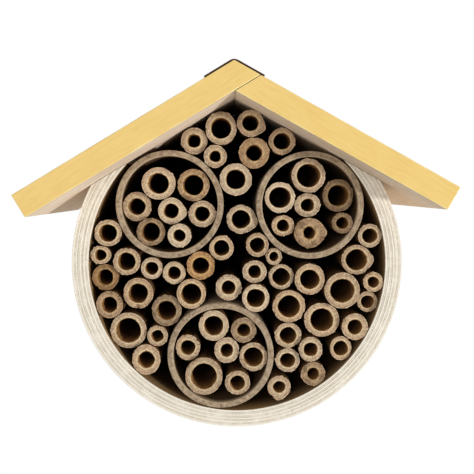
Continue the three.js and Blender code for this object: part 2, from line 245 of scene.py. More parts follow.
def times(tree, a, b, way="MULTIPLY"):
    made = add(tree, "ShaderNodeMath", operation=way)
    for socket, value in zip(made.inputs, (a, b)):
        if isinstance(value, bpy.types.NodeSocket):
            tree.links.new(value, socket)
        else:
            socket.default_value = value
    return made.outputs[0]


def surfaceGrain(tree, x, xScale, y, yScale):
    # two of a piece's own numbers, scaled, as the vector that a noise reads
    inputs = {"X": times(tree, x, xScale), "Y": times(tree, y, yScale)}
    return add(tree, "ShaderNodeCombineXYZ", inputs).outputs[0]


def finishMaterial(made, tree, shader, colour, height=None, depth=0.1 * mm, strength=0.5):
    tree.links.new(colour, shader.inputs["Base Color"])
    if height is not None:
        bump = add(tree, "ShaderNodeBump", {"Height": height, "Distance": depth, "Strength": strength})
        tree.links.new(bump.outputs["Normal"], shader.inputs["Normal"])
    return made


def spotParts(tree, kept="spot"):
    # the three numbers kept on each point of a piece
    here = add(tree, "ShaderNodeAttribute", attribute_name=kept)
    return add(tree, "ShaderNodeSeparateXYZ", {"Vector": here.outputs["Vector"]}).outputs


# Bamboo: a dark thin skin, a tan wall that pales towards the bore, and a brown bore

bamboo = {
    "skin": (124, 90, 56),
    "skinDark": (66, 44, 26),
    # painted shade for the skin behind the open end
    "skinPaintedShade": (40, 27, 16),
    # the ramp's first stops paint a highlight on the sawn outer edge, and its last stops paint shade at the
    # bore's edge
    "wall": [(0.0, (222, 198, 166)), (0.06, (206, 178, 148)), (0.13, (172, 144, 116)),
             (0.28, (186, 160, 132)), (0.52, (190, 165, 135)), (0.72, (204, 182, 148)),
             (0.84, (230, 210, 174)), (0.93, (196, 168, 130)), (1.0, (130, 100, 66))],
    "fleck": (92, 70, 48),
    "pale": (236, 220, 188),
    "bore": (178, 132, 78),
    # darker streaks in the bore, and the painted shade deeper in it
    "boreStreakAndShade": (92, 60, 30),
    "warm": (240, 214, 176),
    "shade": (150, 136, 116),
}


def skinMaterial():
    # the outside of a cane: streaks along it, warm patches, and painted shade that darkens it away from its
    # open end
    made, tree, shader = begin("bamboo_skin", 0.55)
    streak = noise(tree, place(tree, (1, 0.06, 1)), 420, 4)
    patch = noise(tree, place(tree, (1, 0.5, 1)), 60, 2)
    away = spotParts(tree)[1]
    colour = tinted(tree, remap(tree, streak, 0.35, 0.7), albedo(*bamboo["skin"]), bamboo["skinDark"])
    colour = tinted(tree, remap(tree, patch, 0.5, 0.9, 0.0, 0.5), colour, bamboo["bore"])
    # painted shade: the skin darkens from 2 to 26 mm behind the open end, where it lies in shade between the
    # canes
    colour = tinted(tree, remap(tree, away, 2.0, 26.0, 0.0, 0.9), colour, bamboo["skinPaintedShade"])
    return finishMaterial(made, tree, shader, colour, streak, 0.08 * mm)


def wallMaterial():
    # the sawn ring: colour by the way across the wall, with a painted highlight at its outer edge and painted
    # shade at the bore, dark and pale fibre ends, and each cane's own tone
    made, tree, shader = begin("bamboo_wall", 0.8)
    across, _, tint = spotParts(tree)
    shade, light, dirt = spotParts(tree, "tone")
    blur = noise(tree, place(tree, (1, 1, 1)), 560, 3)
    moved = times(tree, across, remap(tree, blur, 0.2, 0.8, -0.17, 0.17), "ADD")
    fleck = noise(tree, place(tree, (1, 0.3, 1)), 1500, 2, 0.7)
    dark = times(tree, remap(tree, fleck, 0.5, 0.64), remap(tree, across, 0.95, 0.1, 0.3, 0.8))
    bright = noise(tree, place(tree, (1, 0.3, 1)), 1150, 1, 0.6)
    patch = noise(tree, place(tree, (1, 1, 1)), 240, 2)
    colour = tinted(tree, dark, ramp(tree, moved, bamboo["wall"]), bamboo["fleck"])
    colour = tinted(tree, remap(tree, bright, 0.56, 0.7, 0.0, 0.55), colour, bamboo["pale"])
    colour = tinted(tree, times(tree, remap(tree, patch, 0.5, 0.7), dirt), colour, bamboo["fleck"])
    colour = tinted(tree, tint, colour, bamboo["warm"], "MULTIPLY")
    colour = tinted(tree, shade, colour, bamboo["shade"], "MULTIPLY")
    colour = tinted(tree, light, colour, bamboo["pale"])
    return finishMaterial(made, tree, shader, colour, fleck, 0.14 * mm, 0.7)


def boreMaterial():
    # the hole of a cane: streaks along it, and painted shade that darkens it with the depth
    made, tree, shader = begin("bamboo_bore", 0.75)
    deep = spotParts(tree)[1]
    streak = noise(tree, place(tree, (1, 0.08, 1)), 700, 3)
    streaks = remap(tree, streak, 0.35, 0.7, 0.0, 0.6)
    colour = tinted(tree, streaks, albedo(*bamboo["bore"]), bamboo["boreStreakAndShade"])
    # painted shade: the bore darkens over its first 20 mm, as a hole does in shade
    colour = tinted(tree, remap(tree, deep, 0.0, 20.0), colour, bamboo["boreStreakAndShade"])
    return finishMaterial(made, tree, shader, colour, streak, 0.1 * mm)


caneShape = {
    "around": 52 * finest,  # points round a cane
    "edge": 0.14 * mm,  # chamfer of the sawn outer edge
    "lip": 0.12 * mm,  # chamfer of the bore's edge
    "flats": 0.14 * mm,  # how far the skin dips between its ribs
    "boreWave": 0.16 * mm,
    "saw": 0.2 * mm,  # unevenness of the sawn ring
    "slope": 0.012,  # how far the saw cut leans
    "burrs": 10, "burr": 0.45 * mm, "burrWide": 0.085,  # torn fibres and nicks along the sawn edge
    "budPoint": 0.7,  # 0 leaves a bud's lobe round and more draws it to a point
    "bundleRise": 0.14 * mm,  # how far a node swells on a cane in a tube
    "plainRings": (-45 * mm, -68 * mm),  # along Y, between the node and the bud
    "budRings": (12 * mm, 8.5 * mm, 5 * mm, 2 * mm),  # behind the open end
    "boreRings": (1.5 * mm, 5 * mm, 12 * mm, 26 * mm),
    "tint": 0.35, "shade": 0.25, "dirt": 0.25,  # the most that a plain cane takes at random, and its dirt
}

# Canes that look unlike the rest: a warm tint, a shade or lightness, patches of dirt, or a chip out of the
# sawn edge as its angle, spread, depth in mm and share of the wall
caneSpecials = {
    "bamboo_05": {"tint": 0.6, "shade": 0.35, "dirt": 0.6},
    "bamboo_07": {"light": 0.15},
    "bamboo_11": {"tint": 0.9, "shade": 0.5, "dirt": 0.5},
    "bamboo_13": {"chip": (-35, 14, 1.2, 0.6)},
    "bamboo_14": {"light": 0.2},
    "bamboo_15": {"tint": 1.0, "shade": 0.1, "dirt": 0.3},
    "bamboo_17": {"tint": 0.4, "shade": 0.35, "dirt": 0.5},
    "bamboo_18": {"chip": (-95, 9, 2.5, 0.75)},
    "bamboo_19": {"tint": 0.2, "shade": 0.6, "dirt": 0.5},
    "bamboo_24": {"light": 0.12, "chip": (84, 34, 0.9, 0.3), "dirt": 0.5},
    "bamboo_26": {"chip": (150, 16, 1.1, 0.5)},
    "bamboo_28": {"light": 0.12},
    "bamboo_43": {"tint": 0.4, "shade": 0.4, "dirt": 0.6},
    "bamboo_45": {"tint": 0.5, "shade": 0.35, "dirt": 0.7},
    "bamboo_46": {"tint": 0.2, "shade": 0.8, "dirt": 0.4},
    "bamboo_upper_left_2": {"tint": 0.6, "shade": 0.3, "dirt": 0.7},
    "bamboo_upper_left_4": {"light": 0.18},
    "bamboo_upper_left_6": {"tint": 0.3, "shade": 0.6, "dirt": 0.6},
    "bamboo_upper_left_7": {"light": 0.15},
    "bamboo_upper_right_2": {"shade": 0.9, "dirt": 0.6},
    "bamboo_upper_right_3": {"light": 0.15},
    "bamboo_lower_1": {"light": 0.15},
    "bamboo_lower_2": {"tint": 0.2, "shade": 0.55, "dirt": 0.5},
    "bamboo_lower_5": {"chip": (52, 13, 1.6, 0.8), "dirt": 0.4},
}


def outlineOf(end, angles):
    # a smooth outline through the outer corners, as an oval and the lobe of a bud on top of it:
    # least squares of 1, cos t, sin t, cos 2t, sin 2t and so on
    def waves(turn, harmonics):
        steps = np.multiply.outer(turn, np.arange(1, harmonics + 1))
        return np.hstack([np.ones((len(turn), 1)), np.cos(steps), np.sin(steps)])

    budded = len(end["radii"]) > 12
    calm = end["radii"] < np.median(end["radii"]) * (1.04 if budded else 2)
    oval = np.linalg.lstsq(waves(end["angles"][calm], 2), end["radii"][calm], rcond=None)[0]
    base = waves(angles, 2) @ oval
    if not budded:
        return base, np.zeros_like(base)
    whole = np.linalg.lstsq(waves(end["angles"], 6), end["radii"], rcond=None)[0]
    lobe = np.clip(waves(angles, 6) @ whole - base, 0, None)
    return base, lobe * (lobe / lobe.max()) ** caneShape["budPoint"]


def caneRows(front, rise, stations):
    # rings from the closed back along the skin, over the sawn end and down the bore: share of the outline,
    # share of the bore, inset, place along Y, share of the bud, way across the wall
    back, swellBack, _, floorCentre, floorEdge, swellFront = stations[:6]
    edge, lip = caneShape["edge"], caneShape["lip"]
    swelling = np.linspace(swellBack, swellFront, 7)
    skinY = np.r_[back, back - 0.3 * edge, back - edge, swelling, caneShape["plainRings"],
                  front + np.array(caneShape["budRings"]), front + 2 * edge, front + edge]
    skinIn = np.r_[-edge, -0.3 * edge, 0, np.sin(np.linspace(0, math.pi, 7)) ** 2 * rise, np.zeros(8)]
    bud = [0] * 13 + [0.35, 0.8, 1, 1, 1]
    cut = np.array([0, 0.1, 0.25, 0.4, 0.55, 0.7, 0.85, 1])
    cutIn = [-edge, -0.6 * edge, 0, 0, 0, 0, 0, lip]
    boreY = np.r_[front + lip, front + 3 * lip, front + np.array(caneShape["boreRings"]),
                  0.5 * (front + floorEdge), floorEdge - 0.8 * mm, floorEdge, 0.5 * (floorEdge + floorCentre)]
    boreIn = [0, 0, 0, 0, 0, 0, 0, 0, -0.7 * mm, 0]
    boreShare = [1, 1, 1, 0.995, 0.99, 0.985, 0.975, 0.97, 0.97, 0.45]
    skin, sawn, bore = len(skinY), len(cut), len(boreY)
    rows = {
        "outer": np.r_[np.ones(skin), 1 - cut, np.zeros(bore)],
        "bore": np.r_[np.zeros(skin), cut, boreShare],
        "inset": np.r_[skinIn, cutIn, boreIn],
        "y": np.r_[skinY, np.full(sawn, front), boreY],
        "bud": np.r_[bud, np.ones(sawn), np.zeros(bore)],
        "across": np.r_[np.zeros(skin), cut, np.ones(bore)],
    }
    rows["sawn"] = np.exp(-(((rows["y"] - front) / (0.8 * mm)) ** 2))
    return rows, (skin, sawn, bore)


def turnFrom(angles, centre):
    # the shortest way round from each centre to each angle
    return (angles - centre + math.pi) % (2 * math.pi) - math.pi


def burrRadii(angles, rows, source):
    # torn fibres and nicks: narrow bumps at random angles, exp(-(way round / width)^2), near the sawn edge
    centres = source.uniform(0, 2 * math.pi, (caneShape["burrs"], 1))
    bumps = np.exp(-((turnFrom(angles, centres) / caneShape["burrWide"]) ** 2))
    burr = (source.uniform(-1, 1, centres.shape) * bumps).sum(axis=0)
    nearCut = rows["sawn"] * np.clip(1 - 2.5 * rows["across"], 0, 1) * (rows["outer"] > 0)
    return caneShape["burr"] * burr * nearCut[:, None]


def sawnPush(angles, rows, x, z, seed, source, chip):
    # how far the sawn end dips along Y: four seeded ripples blended across the wall, plus a lean, plus a chip
    lean = source.uniform(0, 2 * math.pi)
    tilt = caneShape["slope"] * source.uniform(0.2, 1)
    rough = np.stack([ripple(angles, seed + 40 * k, (3, 15), 1) for k in range(4)])
    layer = np.interp(rows["across"], [0, 0.33, 0.66, 1], np.arange(4))
    low = np.clip(layer.astype(int), 0, 2)
    share = (layer - low)[:, None]
    saw = caneShape["saw"] * (rough[low] * (1 - share) + rough[low + 1] * share)
    push = saw.clip(-1, 1) + caneShape["saw"] + tilt * (x * math.cos(lean) + z * math.sin(lean))
    if chip:
        at, spread, deep, reach = chip
        notch = deep * mm * np.exp(-((turnFrom(angles, math.radians(at)) / math.radians(spread)) ** 2))
        push = push + notch * np.clip((reach - rows["across"]) * 6, 0, 1)[:, None]
    return rows["sawn"][:, None] * push


def buildCane(name, node, end, rise, seed, stations, materials):
    # radius = outer share x outline + bore share x bore + inset, on a ring of angles at every row
    around = caneShape["around"]
    angles = np.linspace(0, 2 * math.pi, around, endpoint=False)
    special = caneSpecials.get(name, {})
    base, lobe = outlineOf(end, angles)
    base = base - caneShape["flats"] * (0.5 + 0.5 * ripple(angles, seed, (3, 9), 1.6)).clip(0, 1)
    bore = end["bore"] + ripple(angles, seed + 500, (2, 5), caneShape["boreWave"])
    rows, (skin, sawn, depth) = caneRows(end["front"], rise, stations)
    outline = base + rows["bud"][:, None] * lobe
    radius = rows["outer"][:, None] * outline + rows["bore"][:, None] * bore + rows["inset"][:, None]
    source = np.random.default_rng(seed + 900)
    radius = radius + burrRadii(angles, rows, source)
    x, z = radius * np.cos(angles), radius * np.sin(angles)
    y = rows["y"][:, None] + sawnPush(angles, rows, x, z, seed, source, special.get("chip"))
    points = np.stack([end["axis"][0] + x, y, end["axis"][1] + z], axis=-1).reshape(-1, 3)
    poles = [[end["axis"][0], stations[0], end["axis"][1]], [end["axis"][0], stations[3], end["axis"][1]]]
    points = np.vstack([points, poles])
    count = len(rows["y"])
    kind = np.repeat(np.r_[np.zeros(skin - 1), np.ones(sawn), np.full(depth, 2)][: count - 1], around)
    tint = special.get("tint", source.uniform(0, caneShape["tint"]))
    shade = special.get("shade", source.uniform(0, caneShape["shade"]))
    tone = [shade, special.get("light", 0), special.get("dirt", caneShape["dirt"])]
    away = (rows["y"] - end["front"]) / mm
    spots = np.broadcast_arrays(rows["across"][:, None], away[:, None], np.full(around, tint))
    spots = np.vstack([np.stack(spots, axis=-1).reshape(-1, 3), [[0, 90, tint], [1, 70, tint]]])
    faces = [quadGrid(count, around, False, True), *poleFans(count, around)]
    kinds = [kind, np.zeros(around), np.full(around, 2)]
    tones = np.tile(tone, (len(points), 1))
    made = makePiece(name, points, faces, materials, kinds, spots, 22, tones)
    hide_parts(node)
    return made


def buildCanes():
    # the loose canes, a node each, then those in the tubes, several to a node
    materials = [skinMaterial(), wallMaterial(), boreMaterial()]
    stations = stationsOf("cane_01")
    made = []
    loose = sorted(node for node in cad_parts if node.startswith("cane_") and "bundle" not in node)
    for number, node in enumerate(loose):
        end = openEnds(node)[0]
        low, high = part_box(node)
        ring = end["radii"] * np.stack([np.cos(end["angles"]), np.sin(end["angles"])])
        spare = [(high.x - low.x) - np.ptp(ring[0]), (high.z - low.z) - np.ptp(ring[1])]
        rise = max(0, min(spare) / 2)
        name = node.replace("cane_", "bamboo_")
        made.append(buildCane(name, node, end, rise, number, stations, materials))
    for node in sorted(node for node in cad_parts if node.startswith("cane_bundle")):
        for number, end in enumerate(openEnds(node)):
            name = node.replace("cane_bundle_", "bamboo_") + "_" + str(number + 1)
            seed = 100 + 10 * len(made) + number
            made.append(buildCane(name, node, end, caneShape["bundleRise"], seed, stations, materials))
    print("canes", len(made))
    return made


# Drum: veneers bent round and glued, their edges bare at the front rim

drum = {
    "plies": 9,
    "around": 150 * finest,
    "groove": 0.14 * mm,  # depth of the line between two veneers
    "step": 0.35 * mm,  # how far a veneer may stand back from the rim
    "ragged": 0.2 * mm,
    "rearEdge": 0.5 * mm,
    "pale": (236, 229, 215),
    "dark": (212, 202, 184),
    "glue": (184, 166, 142),
    "veneer": (226, 206, 176),
    "veneerDark": (196, 170, 134),
    "inside": (176, 142, 98),
    # a darker grain, and the painted shade deep inside the drum
    "insideGrainAndShade": (74, 50, 28),
    "dim": (-99 * mm, -80 * mm),  # along Y, where painted shade darkens the inside
    "crackPly": 4, "crackAt": math.radians(-124), "crackSpread": 0.12, "crackDepth": 1.6 * mm,
}


def rimMaterial():
    # the veneers' edges: pale and darker by turns with a line of glue between, worn in patches
    made, tree, shader = begin("ply_rim", 0.85, 0.2)
    across, along, _ = spotParts(tree)
    wander = noise(tree, surfaceGrain(tree, across, 9.0, along, 28.0), 1.0, 2)
    level = times(tree, across, float(drum["plies"]))
    level = times(tree, level, remap(tree, wander, 0.2, 0.8, -0.18, 0.18), "ADD")
    turn = add(tree, "ShaderNodeMath", {0: times(tree, level, 0.5)}, operation="FRACT").outputs[0]
    stops = [(0.0, "glue"), (0.06, "pale"), (0.5, "pale"), (0.56, "dark"), (0.94, "dark"), (1.0, "glue")]
    stripe = ramp(tree, turn, [(at, drum[shade]) for at, shade in stops])
    fibre = noise(tree, surfaceGrain(tree, across, 60.0, along, 260.0), 1.0, 3)
    worn = noise(tree, place(tree, (1, 1, 1)), 150, 3, 0.6)
    speck = noise(tree, place(tree, (1, 1, 1)), 1100, 2, 0.7)
    colour = tinted(tree, remap(tree, fibre, 0.46, 0.7, 0.0, 0.7), stripe, drum["dark"])
    colour = tinted(tree, remap(tree, worn, 0.46, 0.66, 0.0, 0.7), colour, drum["pale"])
    colour = tinted(tree, remap(tree, speck, 0.6, 0.72, 0.0, 0.6), colour, drum["glue"])
    return finishMaterial(made, tree, shader, colour, fibre, 0.15 * mm, 0.6)


def veneerMaterial():
    # the drum's outer face, its grain running round it
    made, tree, shader = begin("ply_face", 0.7, 0.25)
    _, along, deep = spotParts(tree)
    figure = noise(tree, surfaceGrain(tree, along, 40.0, deep, 900.0), 1.0, 4, 0.6, 0.3)
    colour = tinted(tree, remap(tree, figure, 0.35, 0.75), albedo(*drum["veneer"]), drum["veneerDark"])
    return finishMaterial(made, tree, shader, colour, figure, 0.08 * mm, 0.4)


def insideMaterial():
    # the drum's inner face, with painted shade that darkens it with the depth
    made, tree, shader = begin("ply_inside", 0.8, 0.2)
    _, along, deep = spotParts(tree)
    figure = noise(tree, surfaceGrain(tree, along, 40.0, deep, 900.0), 1.0, 4, 0.6, 0.3)
    # painted shade: the inner face darkens towards the back, as a recess does
    colour = tinted(tree, remap(tree, deep, *drum["dim"]), albedo(*drum["inside"]), drum["insideGrainAndShade"])
    colour = tinted(tree, remap(tree, figure, 0.4, 0.8, 0.0, 0.5), colour, drum["insideGrainAndShade"])
    return finishMaterial(made, tree, shader, colour, figure, 0.08 * mm, 0.4)


def roofCut(points, outer, inner):
    # the line that cuts the drum off under the right roof board: its distance from the axis and the direction
    # square to it, from the highest points of the outer and the inner face on the right
    right = points[points[:, 0] > 0]
    reach = np.hypot(right[:, 0], right[:, 2])
    tip = right[reach > outer - 1e-5]
    heel = right[reach < inner + 1e-5]
    tip, heel = tip[tip[:, 2].argmax()][[0, 2]], heel[heel[:, 2].argmax()][[0, 2]]
    along = (heel - tip) / np.linalg.norm(heel - tip)
    normal = np.array([-along[1], along[0]])
    normal = normal * np.sign(tip @ normal)
    return tip @ normal, math.atan2(normal[1], normal[0])


def drumProfile(outer, inner, front, back):
    # radius, Y, raggedness and veneer of each profile point: along the outer face, over the veneers' edges,
    # five points to each, and back along the inner face
    rear, plies = drum["rearEdge"], drum["plies"]
    stand = np.random.default_rng(7).uniform(0, 1, plies) ** 2 * drum["step"]
    stand[[0, -1]] += 0.1 * mm
    ply = (outer - inner) / plies
    part = np.array([0.04, 0.16, 0.5, 0.84, 0.96])
    depth = np.array([drum["groove"], 0, -0.02 * mm, 0, drum["groove"]])
    veneer = np.arange(plies)[:, None]
    edgeR = (outer - (veneer + part) * ply).ravel()
    edgeY = (front + 0.1 * mm + stand[:, None] + depth).ravel()
    face = front + 1.2 * mm  # where the faces end and the rim begins
    radius = np.r_[outer, outer, edgeR, inner, inner, inner + rear, outer - rear]
    y = np.r_[back - rear, face, edgeY, face, back - rear, back, back]
    ragged = np.r_[0, 0, np.tile([0.5, 1, 1, 1, 0.5], plies), np.zeros(4)]
    layer = np.r_[0, 0, np.repeat(np.arange(plies), 5), np.full(4, plies - 1)]
    return radius, y, ragged, layer


def buildDrum():
    # a profile in radius and Y, carried round the drum. Each end is cut along the roof's underside: where a
    # line at distance c from the axis, square to direction n, meets radius r, the angle is n - acos(c / r)
    points, _ = nodeMesh("barrel")
    radius = np.hypot(points[:, 0], points[:, 2])
    outer, inner = radius.max(), radius.min()
    distance, direction = roofCut(points, outer, inner)
    profileR, profileY, ragged, layer = drumProfile(outer, inner, points[:, 1].min(), points[:, 1].max())
    rings, plies, around = len(profileR), drum["plies"], drum["around"]
    begins = direction - np.arccos(distance / profileR)
    finishes = math.pi - begins
    turn = begins[:, None] - np.linspace(0, 1, around) * (begins - finishes + 2 * math.pi)[:, None]
    waves = np.stack([ripple(turn[0], 60 + k, (5, 60), 1) for k in range(plies)])
    y = profileY[:, None] + drum["ragged"] * ragged[:, None] * (waves[layer] + 0.6).clip(0, None)
    crack = np.exp(-(((turn - drum["crackAt"]) / drum["crackSpread"]) ** 2))
    lastOfPly = 2 + 5 * drum["crackPly"] + 4
    seam = np.isin(np.arange(rings), [lastOfPly, lastOfPly + 1])
    y = y + seam[:, None] * crack * drum["crackDepth"]
    grid = np.stack([profileR[:, None] * np.cos(turn), y, profileR[:, None] * np.sin(turn)], axis=-1)
    first = np.arange(rings)[None] * around
    faces = [quadGrid(rings, around, True, False), first, first[:, ::-1] + around - 1]
    kind = np.ones(rings)
    kind[1: 2 + 5 * plies] = 0
    kind[2 + 5 * plies] = 2
    kinds = [np.repeat(kind, around - 1), [1], [1]]
    across = ((outer - profileR) / (outer - inner))[:, None]
    spots = np.stack(np.broadcast_arrays(across, turn * profileR[:, None], profileY[:, None]), axis=-1)
    materials = [rimMaterial(), veneerMaterial(), insideMaterial()]
    made = makePiece("drum_shell", grid.reshape(-1, 3), faces, materials, kinds,
                     spots.reshape(-1, 3), 30)
    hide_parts("barrel")
    print("drum")
    return made


# Large tubes: grey-brown pressed fibre with fine specks

tube = {
    "around": 64 * finest,
    "edge": 0.45 * mm,
    "wave": 0.12 * mm,
    "base": (172, 152, 126),
    "dark": (124, 104, 82),
    "speck": (212, 194, 168),
    "inner": (190, 168, 138),
    # painted shade inside the tube
    "hollow": (96, 72, 48),
    "dim": (-98.5 * mm, -94 * mm),  # along Y, where painted shade darkens the inside
    "plainRings": (-40 * mm, -70 * mm),
    "dip": 0.14 * mm,  # unevenness of the front rim
}


def tubeMaterial():
    made, tree, shader = begin("tube_fibre", 0.9, 0.15)
    across, _, deep = spotParts(tree)
    mottle = noise(tree, place(tree, (1, 1, 1)), 420, 4, 0.65)
    speck = noise(tree, place(tree, (1, 1, 1)), 1500, 2, 0.7)
    # painted shade: the inner face darkens from the rim to about 4 mm deeper
    inside = times(tree, remap(tree, across, 0.97, 1.0), remap(tree, deep, *tube["dim"]))
    colour = tinted(tree, remap(tree, mottle, 0.38, 0.66), albedo(*tube["base"]), tube["dark"])
    colour = tinted(tree, remap(tree, speck, 0.58, 0.7, 0, 0.7), colour, tube["speck"])
    colour = tinted(tree, remap(tree, across, 0.72, 1.0, 0, 0.7), colour, tube["inner"])
    colour = tinted(tree, inside, colour, tube["hollow"])
    return finishMaterial(made, tree, shader, colour, speck, 0.2 * mm, 0.8)


def tubeProfile(outer, inner, front, back):
    # a closed profile round the wall: out along the outer face, over the rim and back along the inner face
    edge, plain = tube["edge"], np.array(tube["plainRings"])
    way = np.linspace(0, 1, 7)[1:-1]
    rimR = outer - edge - way * (outer - inner - 2 * edge)
    r = np.r_[outer - edge, np.full(4, outer), outer - 0.3 * edge, outer - edge,
              rimR, inner + edge, inner + 0.3 * edge, np.full(4, inner), inner + edge]
    y = np.r_[back, back - edge, plain, front + edge, front + 0.3 * edge, front,
              np.full(5, front), front, front + 0.3 * edge, front + edge, plain[::-1], back - edge, back]
    return r, y


def buildTube(node, seed, material):
    # the closed profile turned about the tube's axis, its radii waved and its rim dipped by seeded ripples
    points, _ = nodeMesh(node)
    low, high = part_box(node)
    axis = np.array([(low.x + high.x) / 2, (low.z + high.z) / 2])
    radius = np.hypot(*(points[:, [0, 2]] - axis).T)
    outer, inner, front = radius.max(), radius.min(), points[:, 1].min()
    around = tube["around"]
    turn = np.linspace(0, 2 * math.pi, around, endpoint=False)
    r, y = tubeProfile(outer, inner, front, points[:, 1].max())
    waveOut = -np.abs(ripple(turn, seed, (2, 9), tube["wave"]))
    waveIn = ripple(turn, seed + 5, (2, 9), tube["wave"])
    radii = r[:, None] + np.where(r[:, None] > (outer + inner) / 2, waveOut, waveIn * 0.5)
    rim = np.exp(-(((y - front) / mm) ** 2))[:, None]
    lift = np.stack([ripple(turn, seed + 20 + k, (3, 30), 1) for k in range(len(y))])
    along = y[:, None] + rim * tube["dip"] * (1 + lift).clip(0, 2)
    grid = np.stack([axis[0] + radii * np.cos(turn), along, axis[1] + radii * np.sin(turn)], axis=-1)
    across = ((outer - r) / (outer - inner))[:, None]
    spots = np.stack(np.broadcast_arrays(across, turn * outer, y[:, None]), axis=-1)
    made = makePiece(node.replace("tube_", "large_tube_"), grid.reshape(-1, 3),
                     [quadGrid(len(r), around, True, True)], [material], None, spots.reshape(-1, 3), 40)
    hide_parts(node)
    return made


def buildTubes():
    material = tubeMaterial()
    nodes = sorted(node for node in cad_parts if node.startswith("tube_"))
    print("tubes", len(nodes))
    return [buildTube(node, 300 + 50 * k, material) for k, node in enumerate(nodes)]


# Roof: pale yellow paint outside, bare wood underneath, its grain running down the slope

roof = {
    "paint": (233, 200, 122),
    "paintDeep": (230, 195, 115),
    "grain": (222, 186, 104),
    # a paler paint on the rounded edges, as a painted highlight
    "arrisHighlight": (246, 228, 160),
    "bare": (244, 226, 204),
    "bareDark": (220, 194, 164),
    "round": 0.45 * mm,
    "slope": math.radians(30),  # of the grain, to match the boards
}


def paintMaterial(name, paint, deeper, slope):
    # the paint follows the wood's grain, which runs down the slope
    made, tree, shader = begin(name, 0.5, 0.35)
    cloud = noise(tree, place(tree, (1, 1, 1)), 45, 3)
    grain = noise(tree, place(tree, (0.12, 1, 1), slope), 700, 4, 0.65)
    colour = tinted(tree, remap(tree, cloud, 0.4, 0.7), albedo(*paint), deeper)
    colour = tinted(tree, remap(tree, grain, 0.45, 0.7, 0.0, 0.8), colour, roof["grain"])
    return finishMaterial(made, tree, shader, colour, grain, 0.06 * mm, 0.5)


def bareMaterial():
    # unpainted wood, its lines running down the slope
    made, tree, shader = begin("bare_wood", 0.75, 0.2)
    lines = noise(tree, place(tree, (0.12, 1, 0.12)), 260, 4, 0.6, 0.4)
    colour = tinted(tree, remap(tree, lines, 0.4, 0.72), albedo(*roof["bare"]), roof["bareDark"])
    return finishMaterial(made, tree, shader, colour, lines, 0.1 * mm, 0.4)


def pushed(outline, front, back):
    # an outline in X and Z pushed along Y, as its points and its faces: the sides, then the two ends
    count = len(outline)
    places = np.vstack([np.c_[outline[:, 0], np.full(count, y), outline[:, 1]] for y in (front, back)])
    end = np.arange(count)[None]
    return places, [quadGrid(2, count, False, True), end[:, ::-1], end + count]


def bevel(piece, width, segments, angle):
    edge = piece.modifiers.new("edge", "BEVEL")
    edge.width, edge.segments = width, segments
    edge.limit_method, edge.angle_limit = "ANGLE", math.radians(angle)
    edge.harden_normals = True
    return edge


def buildBoard(node, name, materials):
    # the board's widest outline, its corners in order of their angle round the middle, pushed along Y. The
    # face that looks down takes the bare wood
    points, _ = nodeMesh(node)
    levels = np.unique(points[:, 1].round(5))
    corners = np.unique(points[np.abs(points[:, 1] - levels[1]) < 1e-5][:, [0, 2]], axis=0)
    centre = corners.mean(axis=0)
    corners = corners[np.argsort(np.arctan2(*(corners - centre).T[::-1]))]
    after = np.roll(corners, -1, axis=0)
    outward = np.stack([after[:, 1] - corners[:, 1], corners[:, 0] - after[:, 0]], axis=-1)
    length = np.linalg.norm(outward, axis=1)
    under = (outward[:, 1] < -0.6 * length) & (length > 60 * mm)
    places, faces = pushed(corners, levels[0], levels[-1])
    made = makePiece(name, places, faces, materials, [under.astype(int), [0], [0]])
    # the rounded edges take the third material, the painted highlight
    bevel(made, roof["round"], 3, 30).material = 2
    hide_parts(node)
    return made


def buildRoof():
    bare = bareMaterial()
    boards = []
    for side, slope in (("left", roof["slope"]), ("right", -roof["slope"])):
        paint = paintMaterial("roof_paint_" + side, roof["paint"], roof["paintDeep"], slope)
        # painted highlight: the rounded edges take a paler paint
        arrisHighlight = paintMaterial("roof_arris_" + side, roof["arrisHighlight"], roof["paint"], slope)
        boards.append(buildBoard("roof_board_" + side, "roof_" + side, [paint, bare, arrisHighlight]))
    print("roof")
    return boards


# Ridge strip: a thin dark strip folded over the ridge

strip = {
    "colour": (58, 28, 12), "light": (84, 48, 26),
    "fold": 1.2 * mm, "tip": 0.2 * mm,
    "share": 0.6,  # of the thickness that the frame allows
}


def folded(a, top, b, drop):
    # a path over a fold that leaves each slope a little before it: (1-t)^2 before + 2t(1-t) top + t^2 after
    t = np.linspace(0, 1, 9)[:, None]
    before = top + (a - top) / np.linalg.norm(a - top) * drop
    after = top + (b - top) / np.linalg.norm(b - top) * drop
    return np.vstack([a, (1 - t) ** 2 * before + 2 * t * (1 - t) * top + t ** 2 * after, b])


def stripMaterial():
    made, tree, shader = begin("ridge_brown", 0.6, 0.3)
    cloud = noise(tree, place(tree, (1, 0.4, 1)), 160, 3)
    colour = tinted(tree, cloud, albedo(*strip["colour"]), strip["light"])
    return finishMaterial(made, tree, shader, colour, cloud, 0.08 * mm, 0.4)


def buildStrip():
    # the outline of the strip's upper and lower faces with the fold rounded, pushed along Y
    points, _ = nodeMesh("ridge_strip")
    flat = np.unique(points[:, [0, 2]].round(6), axis=0)
    outerTop = flat[flat[:, 1].argmax()]
    innerTop = flat[np.argsort(np.abs(flat[:, 0]))[:2]]
    innerTop = innerTop[innerTop[:, 1].argmin()]
    left = flat[np.argsort(flat[:, 0])[:2]]
    right = flat[np.argsort(-flat[:, 0])[:2]]
    upper = [left[left[:, 1].argmax()], outerTop, right[right[:, 1].argmax()]]
    lower = [right[right[:, 1].argmin()], innerTop, left[left[:, 1].argmin()]]
    upper = [under + strip["share"] * (over - under) for over, under in zip(upper, lower[::-1])]
    outline = np.vstack([folded(*upper, 2.2 * strip["fold"]), folded(*lower, strip["fold"])])
    places, faces = pushed(outline, points[:, 1].min(), points[:, 1].max())
    made = makePiece("ridge_cap", places, faces, [stripMaterial()])
    bevel(made, strip["tip"], 2, 50)
    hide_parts("ridge_strip")
    print("ridge strip")
    return made


# Back panel, hanger plate and screws

